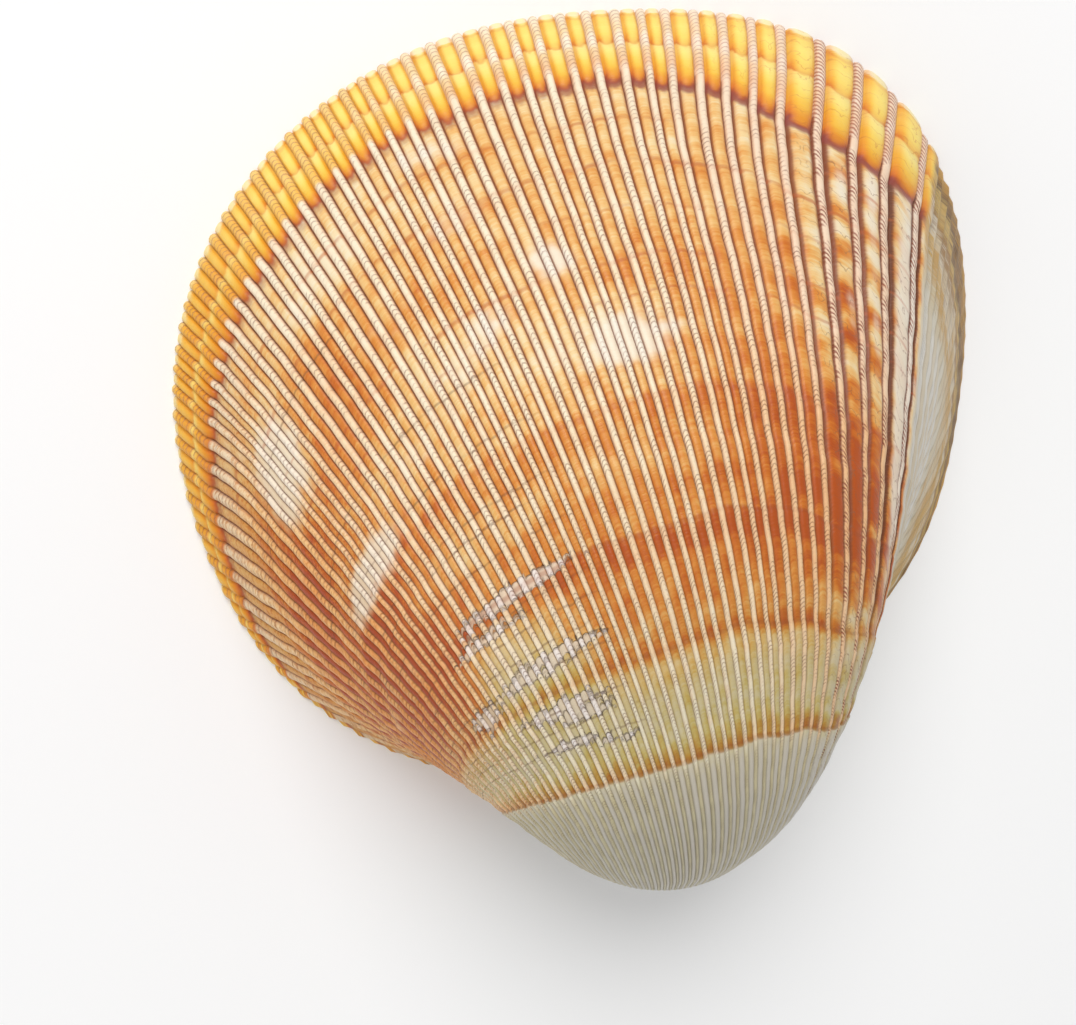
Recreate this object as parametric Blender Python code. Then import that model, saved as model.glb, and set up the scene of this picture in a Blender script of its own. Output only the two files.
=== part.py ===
"""One valve of a large ribbed cockle shell, lying on its rim with the dome up.
The free margin points to -Y, the beak to +Y and the steep end to -X."""

import math

import bmesh
import bpy
import numpy as np

# Distance from the beak to the margin every 15 degrees, in millimetres, from the steep end round to the long end.
MARGIN_MM = [14.8, 50.5, 74.7, 99.9, 113.0, 114.7, 114.7, 109.3, 95.5, 73.1, 49.6, 23.8, 3.1]
TURN = 1.672  # radians that the shell turns about its hinge for each e-fold of growth
TURN_EASES = -0.210  # how the turn slows towards the beak
TURN_SKEW = [0.020, -0.125, -0.186]  # the long end turns more than the steep end
TURN_LIMIT = 2.75  # the beak curls no further than this
BEAK_AGE = 2.9  # e-folds of growth between the beak's tip and the margin
# Direction of each pale cord, in degrees, from the long end to the steep end.
CORDS = [
    148.6, 146.0, 143.4, 140.9, 138.2, 135.4, 132.7, 130.1, 127.7, 125.5, 123.5, 121.6, 120.1,
    118.7, 117.1, 115.6, 114.1, 112.4, 110.7, 109.0, 107.4, 105.7, 104.0, 102.2, 100.6, 99.1,
    97.5, 96.1, 94.5, 92.8, 91.0, 89.1, 87.3, 85.6, 84.0, 82.1, 80.3, 78.4, 76.7, 75.1, 73.0,
    71.0, 68.8, 66.6, 63.3, 59.8, 56.2, 51.2,
]
# Near the margin the ribs swing towards the steep end: directions and degrees, and how it sets in with size.
SWING_AT = [0.0, 30.0, 50.0, 56.0, 70.0, 74.0, 80.0, 90.0, 100.0]
SWING = [0.0, 0.0, 1.6, 2.4, 2.3, 2.0, 1.0, 0.4, 0.0]
SWING_SIZES = [0.85, 0.90, 0.95, 1.0]
SWING_SETS_IN = [0.0, 0.27, 0.7, 1.0]
CORD_RELIEF_MM = 0.85
BAND_RELIEF_MM = 0.75
RIM_WIDTH_MM = 4.4
HINGE_PLATE_MM = 8.5
ROWS = 15
CAVITY_AGES = [0.0, 0.1, 0.25, 0.45, 0.7, 0.9, 1.05, 1.17]
CAVITY_ROUNDS_FROM = 0.7
CAVITY_END = 1.25
CENTRE_MM = (8.0, 50.0)

bpy_data = bpy.data
for old in list(bpy_data.objects):
    bpy_data.objects.remove(old, do_unlink=True)


def spline(values):
    """Second derivatives of the smooth curve through evenly spaced values."""
    n = len(values)
    a = np.zeros((n, n))
    b = np.zeros(n)
    a[0, 0] = 1.0
    a[-1, -1] = 1.0
    for i in range(1, n - 1):
        a[i, i - 1 : i + 2] = (1.0, 4.0, 1.0)
        b[i] = 6.0 * (values[i - 1] - 2.0 * values[i] + values[i + 1])
    return np.linalg.solve(a, b)


MARGIN = np.array(MARGIN_MM)
MARGIN_BEND = spline(MARGIN)


def margin_radius(psi):
    """Distance from the beak to the margin in the direction psi."""
    t = np.clip(psi / math.pi * (len(MARGIN) - 1), 0.0, len(MARGIN) - 1.0)
    k = np.minimum(t.astype(int), len(MARGIN) - 2)
    b = t - k
    a = 1.0 - b
    flat = a * MARGIN[k] + b * MARGIN[k + 1]
    return flat + ((a**3 - a) * MARGIN_BEND[k] + (b**3 - b) * MARGIN_BEND[k + 1]) / 6.0


def turned(age, psi):
    """How far the growing edge had turned about the hinge at that age."""
    c = np.cos(psi)
    skew = 1.0 + TURN_SKEW[0] * c + TURN_SKEW[1] * (c * c - 0.3) + TURN_SKEW[2] * c**3
    angle = (TURN * age + TURN_EASES * age * age) * skew
    return angle / (1.0 + np.abs(angle / TURN_LIMIT) ** 8) ** 0.125


def shell_point(age, psi, radius):
    """A point of the growing edge at that age, in millimetres."""
    size = np.exp(-age)
    angle = turned(age, psi)
    x = size * radius * np.cos(psi)
    y = size * radius * np.sin(psi) * np.cos(angle)
    z = size * radius * np.sin(psi) * np.sin(angle)
    return np.stack([x, y, z], -1)


def outside(age, psi):
    return shell_point(age, psi, margin_radius(psi))


# Columns: both edges and the top of each cord, and the top of each band between two cords.
columns = []
relief = []
cords = np.radians(CORDS)
for i, here in enumerate(cords):
    before = cords[i - 1] if i else here + math.radians(2.4)
    after = cords[i + 1] if i + 1 < len(cords) else here - math.radians(2.4)
    share = np.interp(math.degrees(here), [64.0, 72.0, 85.0, 105.0, 130.0], [0.34, 0.42, 0.42, 0.5, 0.66])
    left = here + 0.5 * share * (before - here)
    right = here - 0.5 * share * (here - after)
    next_left = after + 0.5 * share * (here - after)
    columns += [left, here, right]
    relief += [0.0, CORD_RELIEF_MM, 0.0]
    # A wide band has a flat top, a narrow one a single crest.
    crests = [(0.2, 0.85), (0.5, 1.0), (0.8, 0.85)] if here - after > math.radians(3.0) else [(0.5, 1.0)]
    for part_way, height in crests:
        columns.append(right + part_way * (next_left - right))
        relief.append(height * BAND_RELIEF_MM)
relief[-1] = 0.0
long_end = np.radians([180.0, 174.0, 168.0, 163.0, 158.0, 154.0])
steep_end = np.radians([43.0, 38.0, 33.0, 28.0, 22.0, 16.0, 10.0, 5.0, 0.0])
psi = np.concatenate([long_end, columns, steep_end])
relief = np.concatenate([np.zeros(len(long_end)), relief, np.zeros(len(steep_end))])
relief *= np.interp(np.degrees(psi), [44.0, 54.0, 135.0, 150.0], [0.2, 1.0, 1.0, 0.3])
if len(psi) % 2 == 0:
    psi = np.insert(psi, 1, math.radians(177.0))
    relief = np.insert(relief, 1, 0.0)

ages = BEAK_AGE * np.linspace(0.0, 1.0, ROWS + 1) ** 1.15
AGE, PSI = np.meshgrid(ages, psi, indexing="ij")
swing = np.radians(np.interp(np.degrees(psi), SWING_AT, SWING))
PSI = PSI - swing * np.interp(np.exp(-AGE), SWING_SIZES, SWING_SETS_IN)
shape = outside(AGE, PSI)
step = 1e-4
along = outside(AGE + step, PSI) - outside(AGE - step, PSI)
across = outside(AGE, PSI + step) - outside(AGE, PSI - step)
normal = np.cross(along, across)
normal /= np.linalg.norm(normal, axis=-1, keepdims=True) + 1e-12
middle = np.array([CENTRE_MM[0], CENTRE_MM[1], 0.0])
facing = np.sum(normal * (shape - middle), axis=-1, keepdims=True)
normal *= np.sign(facing[0:1, len(psi) // 2 : len(psi) // 2 + 1])
normal[0, :, 2] = 0.0
shape = shape + normal * (relief * np.exp(-0.9 * AGE))[..., None]
shape[0, :, 2] = 0.0

verts = [tuple(p) for p in shape.reshape(-1, 3)]
faces = []
n = len(psi)
for j in range(ROWS):
    for i in range(n - 1):
        faces.append((j * n + i, j * n + i + 1, (j + 1) * n + i + 1, (j + 1) * n + i))

# The tip of the beak closes with a small cap.
tip = len(verts)
verts.append(tuple(shape[-1].mean(axis=0)))
last = ROWS * n
for i in range(n):
    faces.append((last + i, last + (i + 1) % n, tip))

# The hollow follows the outside at the wall's thickness.
inner = np.arange(0, n, 2)
edge = outside(np.zeros(len(inner)), PSI[0, inner])
spoke = edge - middle
reach = np.linalg.norm(spoke, axis=-1)
near_beak = np.exp(-((np.hypot(edge[:, 0] - 6.0, edge[:, 1]) / 30.0) ** 2))
wall = RIM_WIDTH_MM + (HINGE_PLATE_MM - RIM_WIDTH_MM) * near_beak
first_inner = len(verts)
m = len(inner)
for age in CAVITY_AGES:
    size = math.exp(-age)
    late = max(0.0, age - CAVITY_ROUNDS_FROM) / (CAVITY_END - CAVITY_ROUNDS_FROM)
    kept = (1.0 - wall / (size * reach)) * math.sqrt(1.0 - late * late)
    flat = middle + spoke * kept[:, None]
    way = np.arctan2(flat[:, 1], flat[:, 0])
    ring = shell_point(np.full(m, age), way, np.hypot(flat[:, 0], flat[:, 1]))
    verts += [tuple(p) for p in ring]
pole = len(verts)
way = np.array([math.atan2(middle[1], middle[0])])
verts.append(tuple(shell_point(np.array([CAVITY_END]), way, np.array([math.hypot(*CENTRE_MM)]))[0]))
for j in range(len(CAVITY_AGES) - 1):
    for i in range(m):
        a = first_inner + j * m + i
        b = first_inner + j * m + (i + 1) % m
        faces.append((a, a + m, b + m, b))
top = first_inner + (len(CAVITY_AGES) - 1) * m
for i in range(m):
    faces.append((top + i, pole, top + (i + 1) % m))

# The flat rim, and the flat hinge plate beside the hinge line.
for k in range(m - 1):
    a = 2 * k
    q = first_inner + k
    faces += [(a, q, a + 1), (a + 1, q, q + 1), (a + 1, q + 1, a + 2)]
hinge = [j * n + n - 1 for j in range(ROWS + 1)] + [j * n for j in range(ROWS, -1, -1)]
q_start = first_inner + m - 1
q_end = first_inner
turn_at = len(hinge) - 3
for k in range(len(hinge) - 1):
    faces.append((hinge[k], q_start if k < turn_at else q_end, hinge[k + 1]))
faces.append((hinge[turn_at], q_start, q_end))

points = np.array(verts) * 0.001
points[:, :2] *= -1.0
low = points.min(axis=0)
high = points.max(axis=0)
points -= np.array([(low[0] + high[0]) / 2, (low[1] + high[1]) / 2, low[2]])

mesh = bpy_data.meshes.new("valve")
mesh.from_pydata([tuple(p) for p in points], [], faces)
work = bmesh.new()
work.from_mesh(mesh)
bmesh.ops.remove_doubles(work, verts=work.verts, dist=1e-7)
bmesh.ops.recalc_face_normals(work, faces=work.faces)
work.to_mesh(mesh)
work.free()
valve = bpy_data.objects.new("valve", mesh)
bpy.context.scene.collection.objects.link(valve)

# Shell, amber and cream, with a soft gloss.
shell = bpy_data.materials.new("shell")
shell.use_nodes = True
surface = shell.node_tree.nodes["Principled BSDF"]
surface.inputs["Base Color"].default_value = (0.80, 0.52, 0.26, 1.0)
surface.inputs["Roughness"].default_value = 0.42
mesh.materials.append(shell)
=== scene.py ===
import math

import bmesh
import bpy
import numpy as np
from mathutils import Matrix, Vector


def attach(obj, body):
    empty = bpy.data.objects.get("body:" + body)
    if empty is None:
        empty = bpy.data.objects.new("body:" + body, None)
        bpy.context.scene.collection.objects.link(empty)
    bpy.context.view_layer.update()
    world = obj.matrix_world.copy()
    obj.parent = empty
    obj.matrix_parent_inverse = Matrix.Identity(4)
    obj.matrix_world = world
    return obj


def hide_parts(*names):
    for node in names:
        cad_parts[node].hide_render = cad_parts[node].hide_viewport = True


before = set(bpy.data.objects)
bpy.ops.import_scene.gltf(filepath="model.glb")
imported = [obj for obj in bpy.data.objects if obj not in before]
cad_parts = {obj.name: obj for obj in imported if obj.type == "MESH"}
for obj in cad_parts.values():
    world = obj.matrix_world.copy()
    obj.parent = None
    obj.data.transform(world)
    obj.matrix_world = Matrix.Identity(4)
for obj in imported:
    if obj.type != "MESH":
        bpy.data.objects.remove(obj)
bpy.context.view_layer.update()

# The valve: one half of a large cockle's shell, a hard chalky wall with a soft gloss.
# The animal lays it down at the free margin all its life, so each rib is a spoke from
# the beak, each season leaves a line across the ribs, and the young shell curls over.

# Distance from the beak to the margin every 15 degrees, from the steep end to the long end.
MARGIN_MM = [14.8, 50.5, 74.7, 99.9, 113.0, 114.7, 114.7, 109.3, 95.5, 73.1, 49.6, 23.8, 3.1]
# The turn about the hinge, in radians for each e-fold of growth, how it eases towards the beak, how
# the two ends differ, and the most that the beak curls.
TURN = 1.672
TURN_EASES = -0.210
TURN_SKEW = [0.020, -0.125, -0.186]
TURN_LIMIT = 2.75
BEAK_TO_ORIGIN_MM = (9.043, 51.080)

# The pale cords, by direction in degrees: fine ones beside the hinge, the full ones, fine ones.
LONG_SIDE_CORDS = [172.5, 169.3, 166.2, 163.1, 160.1, 157.1, 154.2, 151.4]
FULL_CORDS = [
    148.6, 146.0, 143.4, 140.9, 138.2, 135.4, 132.7, 130.1, 127.7, 125.5, 123.5, 121.6, 120.1,
    118.7, 117.1, 115.6, 114.1, 112.4, 110.7, 109.0, 107.4, 105.7, 104.0, 102.2, 100.6, 99.1,
    97.5, 96.1, 94.5, 92.8, 91.0, 89.1, 87.3, 85.6, 84.0, 82.1, 80.3, 78.4, 76.7, 75.1, 73.0,
    71.0, 68.8, 66.6, 63.3, 59.8, 56.2, 51.2,
]
STEEP_SIDE_CORDS = [48.0, 45.4, 42.8, 40.0, 37.1, 34.0, 30.8, 27.4, 23.8, 20.0, 16.0, 11.8, 7.6]
# Near the margin the ribs swing towards the steep end: directions and degrees, sizes and share.
SWING_AT = [0, 30, 50, 56, 70, 74, 80, 90, 100]
SWING = [0, 0, 1.6, 2.4, 2.3, 2.0, 1.0, 0.4, 0]
SWING_SIZES = [0.82, 0.85, 0.88, 0.90, 0.92, 0.94, 0.96, 0.98, 1.0]
SWING_SETS_IN = [0, 0.04, 0.15, 0.28, 0.44, 0.60, 0.75, 0.88, 1.0]
# The ribs also wander from their spokes as the shell grows: directions, and for each size the
# degrees towards the steep end.
WANDER_AT = [
    44, 52, 58, 62, 66, 70, 76, 82, 86, 90, 94, 98, 102, 106, 112, 118, 124, 130, 136, 142, 148,
    160,
]
WANDER = [
    (0.46, [
        0, -0.3, -0.5, -0.5, -0.35, -0.3, -0.1, 0.3, 0.55, 0.75, 1.0, 1.25, 1.35, 1.55, 1.7, 1.7,
        1.5, 0.95, 0.4, 0.2, 0, 0,
    ]),
    (0.54, [
        0, -0.4, -0.45, -0.25, -0.2, -0.1, 0, 0.2, 0.3, 0.45, 0.6, 0.8, 0.85, 1.0, 1.0, 1.1, 1.0,
        0.8, 0.6, 0.4, 0.2, 0,
    ]),
    (0.62, [
        0, -0.65, -0.6, -0.3, -0.2, -0.1, 0.05, 0.1, 0.15, 0.2, 0.25, 0.35, 0.45, 0.55, 0.55, 0.8,
        1.0, 1.1, 1.1, 0.9, 0.5, 0,
    ]),
    (0.70, [
        0, -0.3, -0.25, -0.2, -0.1, -0.05, 0, 0, 0, 0.05, 0.05, 0.05, 0.1, 0.15, 0.2, 0.25, 0.45,
        0.7, 1.1, 1.2, 0.8, 0,
    ]),
    (0.76, [
        0, 0, -0.05, -0.1, 0, 0, -0.05, 0, 0, 0, -0.05, -0.05, -0.05, -0.05, -0.05, 0.1, 0.25, 0.6,
        1.2, 1.3, 0.8, 0,
    ]),
    (0.82, [
        0, 0.2, 0.3, 0.3, 0.15, 0, 0, 0, -0.05, -0.1, -0.15, -0.2, -0.25, -0.35, -0.35, -0.25, 0.3,
        0.5, 1.05, 1.3, 0.8, 0,
    ]),
    (0.87, [
        0, 0.3, 0.5, 0.4, 0.3, 0.1, 0.05, 0.05, 0, -0.1, -0.2, -0.25, -0.35, -0.45, -0.5, -0.4, 0.5,
        0.95, 1.2, 1.3, 0.8, 0,
    ]),
    (0.91, [
        0, 0.5, 0.6, 0.5, 0.3, 0.2, 0.15, 0.15, 0, -0.05, -0.15, -0.25, -0.35, -0.5, -0.6, -0.5,
        0.4, 0.9, 0.8, 1.1, 0.8, 0,
    ]),
    (0.95, [
        0, 0.5, 0.75, 0.7, 0.55, 0.4, 0.4, 0.35, 0.25, 0.15, 0, -0.15, -0.3, -0.5, -0.7, -0.7,
        -0.45, 0.15, 0.6, 0.9, 0.7, 0,
    ]),
    (1.00, [
        0, 0.5, 0.75, 0.7, 0.55, 0.5, 0.75, 0.75, 0.6, 0.4, 0.2, 0, -0.1, -0.3, -0.8, -0.9, -0.6,
        0.2, 0.7, 0.7, 0.5, 0,
    ]),
]

# The wall at the rim and at the hinge, and the hollow's rings by the age of the shell there.
RIM_WIDTH_MM = 4.4
HINGE_PLATE_MM = 8.5
HOLLOW_AGES = [0.0, 0.025, 0.06, 0.11, 0.18, 0.28, 0.41, 0.56, 0.72, 0.86, 0.98, 1.08, 1.16, 1.21]
HOLLOW_ROUNDS_FROM = 0.7
HOLLOW_END = 1.25
HOLLOW_CENTRE_MM = (8.0, 50.0)

# Old margins that stand out as steps: how much of the full size the shell had, and the height of
# the step in millimetres.
OLD_MARGINS = [
    (0.709, 0.08), (0.675, 0.05), (0.627, 0.14), (0.548, 0.12), (0.533, 0.12), (0.459, 0.18),
]


def bent_through(values):
    """Second derivatives of the smooth curve through evenly spaced values."""
    count = len(values)
    left = np.zeros((count, count))
    right = np.zeros(count)
    left[0, 0] = 1.0
    left[-1, -1] = 1.0
    for i in range(1, count - 1):
        left[i, i - 1:i + 2] = (1.0, 4.0, 1.0)
        right[i] = 6.0 * (values[i - 1] - 2.0 * values[i] + values[i + 1])
    return np.linalg.solve(left, right)


margin_mm = np.array(MARGIN_MM)
margin_bend = bent_through(margin_mm)


def margin_at(way):
    """Distance from the beak to the margin in that direction."""
    t = np.clip(way / math.pi * (len(margin_mm) - 1), 0.0, len(margin_mm) - 1.0)
    k = np.minimum(t.astype(int), len(margin_mm) - 2)
    b = t - k
    a = 1.0 - b
    straight = a * margin_mm[k] + b * margin_mm[k + 1]
    return straight + ((a**3 - a) * margin_bend[k] + (b**3 - b) * margin_bend[k + 1]) / 6.0


def grown_point(age, way, reach):
    """A point of the growing edge when the shell was exp(-age) of its full size."""
    c = np.cos(way)
    skew = 1.0 + TURN_SKEW[0] * c + TURN_SKEW[1] * (c * c - 0.3) + TURN_SKEW[2] * c**3
    turn = (TURN * age + TURN_EASES * age * age) * skew
    turn = turn / (1.0 + np.abs(turn / TURN_LIMIT) ** 8) ** 0.125
    size = np.exp(-age) * reach
    return np.stack(
        [size * c, size * np.sin(way) * np.cos(turn), size * np.sin(way) * np.sin(turn)], -1,
    )


# Columns of the skin: each runs up one line of a cord or of the band between two cords.
all_cords = np.radians(LONG_SIDE_CORDS + FULL_CORDS + STEEP_SIDE_CORDS)
full_from = len(LONG_SIDE_CORDS)
full_to = full_from + len(FULL_CORDS)

CORD_SHARE_AT = [48.0, 51.0, 64.0, 72.0, 95.0, 110.0, 118.0]
CORD_SHARE = [0.5, 0.30, 0.30, 0.40, 0.42, 0.48, 0.50]


def cord_share(here):
    """How much of a rib's room the cord takes, and the band leaves."""
    return float(np.interp(math.degrees(here), CORD_SHARE_AT, CORD_SHARE))


# Where the columns lie across a cord and across a band, from one edge (-1) to the other (1).
ON_WIDE_CORD = [-1.0, -0.82, -0.5, -0.1, 0.3, 0.62, 0.88]
ON_CORD = [-1.0, -0.72, -0.27, 0.27, 0.72]
ON_WIDE_BAND = [-1.0, -0.93, -0.78, -0.5, -0.17, 0.17, 0.5, 0.78, 0.93]
ON_BAND = [-1.0, -0.84, -0.45, 0.0, 0.45, 0.84]
ON_FINE_RIB = [-1.0, 0.0]
WIDE_PITCH = math.radians(3.3)
BEFORE_FIRST_CORD = math.radians(3.4)
AFTER_LAST_CORD = math.radians(4.2)

# Rib number k has its cord from k - 0.25 to k + 0.25, and its band from there to k + 0.75.
way = [math.pi, math.radians(178.0)]
rib = [-0.9, -0.7]
cord_top = [0.0, 0.0]
band_top = [0.0, 0.0]
for k, here in enumerate(all_cords):
    before = all_cords[k - 1] if k else here + BEFORE_FIRST_CORD
    after = all_cords[k + 1] if k + 1 < len(all_cords) else here - AFTER_LAST_CORD
    full = full_from <= k < full_to
    start = here + 0.5 * cord_share(here) * (before - here)
    end = here - 0.5 * cord_share(here) * (here - after)
    next_start = after + 0.5 * cord_share(after) * (here - after)
    wide = here - after > WIDE_PITCH and full
    for c in ON_WIDE_CORD if wide else ON_CORD if full else ON_FINE_RIB:
        way.append(here + (-c * (start - here) if c < 0.0 else c * (end - here)))
        rib.append(k + 0.25 * c)
        cord_top.append((1.0 - c * c) ** 0.6)
        band_top.append(0.0)
    for b in ON_WIDE_BAND if wide else ON_BAND if full else ON_FINE_RIB:
        way.append(0.5 * (end + next_start) - 0.5 * b * (end - next_start))
        rib.append(k + 0.5 + 0.25 * b)
        cord_top.append(0.0)
        band_top.append((1.0 - b**4) ** 0.7)
way += [math.radians(2.0), 0.0]
rib += [len(all_cords), len(all_cords) + 0.2]
cord_top += [0.0, 0.0]
band_top += [0.0, 0.0]
way = np.array(way)
rib = np.array(rib)
cord_top = np.array(cord_top)
band_top = np.array(band_top)
degrees = np.degrees(way)
columns = len(way)

# Rows of the skin follow the growth lines, which dip towards the steep end. "grown" is 1 at the
# margin, 0.935 where the last season's band of blocks starts, and 0 at the beak.
LAST_BAND = 0.065
LAST_BAND_STARTS = 0.935
EVEN_AGAIN_AT = 0.90
EVENS_OUT_OVER = 0.035
swing = np.interp(degrees, SWING_AT, SWING)
last_band_width = np.interp(
    degrees - swing,
    [0, 30, 45, 50, 55, 60, 65, 70, 75, 80, 90, 110, 120, 125, 130, 135, 140, 145, 180],
    [0.05, 0.06, 0.09, 0.10, 0.108, 0.103, 0.095, 0.078, 0.07, 0.066, 0.064, 0.062, 0.061, 0.059,
     0.053, 0.045, 0.036, 0.026, 0.015],
)
steep_dip = np.interp(
    degrees, [40, 45, 50, 55, 60, 65, 70, 75, 80],
    [0.06, 0.06, 0.06, 0.05, 0.043, 0.033, 0.016, 0.008, 0.0],
)
ACROSS_LAST_BAND = [
    0, 0.02, 0.05, 0.09, 0.15, 0.23, 0.31, 0.39, 0.45, 0.48,
    0.505, 0.53, 0.56, 0.62, 0.7, 0.78, 0.86, 0.92, 0.96, 1.0,
]
BEFORE_LAST_BAND = [0.05, 0.11, 0.19, 0.29, 0.41, 0.55, 0.7, 0.85, 1.0]
rows = []
for m in ACROSS_LAST_BAND:
    rows.append((1.0 - m * LAST_BAND, 1.0 - m * last_band_width))
for t in BEFORE_LAST_BAND:
    dipped = (1.0 - t) * (1.0 - last_band_width) + t * (EVEN_AGAIN_AT - steep_dip)
    rows.append((LAST_BAND_STARTS - EVENS_OUT_OVER * t, dipped))

# Behind the last band the rows lie at even steps, with a close pair at each old margin.
FIRST_EVEN_ROW, LAST_EVEN_ROW, ROW_STEP = 0.8912, 0.30, 0.0088
CLEAR_OF_STEPS = 0.003
HALF_STEP_WIDTH = 0.0009
BEAK_ROWS = np.geomspace(0.295, 0.055, 14)
later = [
    g for g in np.arange(FIRST_EVEN_ROW, LAST_EVEN_ROW, -ROW_STEP)
    if min(abs(g - old) for old, _ in OLD_MARGINS) > CLEAR_OF_STEPS
]
for old, _ in OLD_MARGINS:
    later += [old + HALF_STEP_WIDTH, old - HALF_STEP_WIDTH]
later += list(BEAK_ROWS)
for g in sorted(later, reverse=True):
    rows.append((g, g - steep_dip * np.interp(g, [0.055, 0.25, 0.5, 0.9], [0.0, 0.6, 1.0, 1.0])))
grown = np.array([np.full(columns, g) for g, _ in rows])
size = np.array([s for _, s in rows])

# No growth line is quite even from rib to rib.
uneven = 0.0004 * np.sin(rib * 1.31 + 0.4) + 0.0003 * np.sin(rib * 2.77 + 2.0)
uneven += 0.0010 * np.sin(rib * 0.43)
size *= 1.0 + uneven * np.interp(grown, [0.06, 0.3, 0.93, 1.0], [0.0, 1.0, 1.0, 0.0])
age = -np.log(size)

# The way of each column as the shell grew, with the swing and the wander of its rib.
WAY = way - np.radians(swing) * np.interp(size, SWING_SIZES, SWING_SETS_IN)
wander_here = np.array([np.interp(np.degrees(WAY), WANDER_AT, row) for _, row in WANDER])
mark = np.interp(size, [s for s, _ in WANDER], np.arange(len(WANDER)))
lower = np.minimum(mark.astype(int), len(WANDER) - 2)
from_lower = np.take_along_axis(wander_here, lower[None], 0)[0]
from_upper = np.take_along_axis(wander_here, lower[None] + 1, 0)[0]
WAY = WAY - np.radians(from_lower + (mark - lower) * (from_upper - from_lower))
DEGREES = np.broadcast_to(degrees, age.shape)
RIB = np.broadcast_to(rib, age.shape)


def outside(age, way):
    return grown_point(age, way, margin_at(way))


skin = outside(age, WAY)
STEP = 1e-4
along_rib = outside(age + STEP, WAY) - outside(age - STEP, WAY)
across_ribs = outside(age, WAY + STEP) - outside(age, WAY - STEP)
normal = np.cross(along_rib, across_ribs)
normal /= np.linalg.norm(normal, axis=-1, keepdims=True) + 1e-12
middle = np.array([HOLLOW_CENTRE_MM[0], HOLLOW_CENTRE_MM[1], 0.0])
normal *= np.sign(np.sum(normal[0, columns // 2] * (skin[0, columns // 2] - middle)))
normal[0, :, 2] = 0.0

# Relief in millimetres: cords, bands, the two rows of blocks of the last season, old margins, and
# a slow swell.
cord_height = np.interp(
    degrees, [0, 8, 40, 46, 52, 60, 100, 125, 140, 150, 172, 180],
    [0, 0.1, 0.15, 0.3, 0.6, 0.75, 0.8, 0.9, 0.9, 0.5, 0.15, 0],
)
band_height = np.interp(
    degrees, [0, 8, 40, 46, 52, 56, 66, 80, 100, 125, 140, 150, 172, 180],
    [0, 0.1, 0.15, 0.4, 0.95, 1.0, 0.9, 0.65, 0.6, 0.6, 0.6, 0.4, 0.1, 0],
)
block_height = np.interp(degrees, [44, 52, 66, 90, 138, 147], [0.0, 0.5, 0.45, 0.34, 0.34, 0.0])
RIBS_FADE_WITH_AGE = 0.9
OUTER_BLOCK_FROM, OUTER_BLOCK_LONG = 0.05, 0.44
INNER_BLOCK_FROM, INNER_BLOCK_LONG = 0.53, 0.47
BLOCKS_LIFT_CORDS_MM = 0.08
GROOVE_BEHIND_MM, GROOVE_BEHIND_AT, GROOVE_BEHIND_WIDE = 0.22, 1.05, 0.09
STEP_FADES_OVER = 0.014
relief = (cord_height * cord_top + band_height * band_top) * np.exp(-RIBS_FADE_WITH_AGE * age)
along_band = (1.0 - grown) / LAST_BAND
outer_block = np.clip((along_band - OUTER_BLOCK_FROM) / OUTER_BLOCK_LONG, 0.0, 1.0)
inner_block = np.clip((along_band - INNER_BLOCK_FROM) / INNER_BLOCK_LONG, 0.0, 1.0)
blocks = np.sqrt(4.0 * outer_block * (1.0 - outer_block))
blocks = blocks + np.sqrt(4.0 * inner_block * (1.0 - inner_block))
relief += blocks * (block_height * band_top + BLOCKS_LIFT_CORDS_MM * cord_top)
groove_behind = np.exp(-(((along_band - GROOVE_BEHIND_AT) / GROOVE_BEHIND_WIDE) ** 2))
relief -= GROOVE_BEHIND_MM * groove_behind * np.interp(degrees, [44, 52, 140, 150], [0, 1, 1, 0])
for old, step in OLD_MARGINS:
    relief += step * np.where(grown < old, np.exp((grown - old) / STEP_FADES_OVER), 0.0)
swell = 0.07 * np.sin(grown * 190.0 + 0.5 * np.sin(RIB * 0.31)) + 0.06 * np.sin(grown * 97.0 + 1.0)
relief += swell * np.interp(grown, [0.3, 0.5, 0.9, 0.94], [0.3, 1.0, 1.0, 0.0])
skin = skin + normal * relief[..., None]
skin[0, :, 2] = 0.0
skin[:, :, 2] = np.maximum(skin[:, :, 2], 0.0)

# The bars across a cord are counted along the rib, and they stand closer on the younger shell.
row_gap = np.linalg.norm(np.diff(skin, axis=0), axis=-1)
run = np.concatenate([np.zeros((1, columns)), np.cumsum(row_gap, axis=0)])
BAR_PITCH_MM = 0.86
bar_pitch = BAR_PITCH_MM * np.clip(size, 0.1, 1.0) ** 0.55
bars_in_row = np.diff(run, axis=0) / bar_pitch[1:]
bars = np.concatenate([np.zeros((1, columns)), np.cumsum(bars_in_row, axis=0)])

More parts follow.
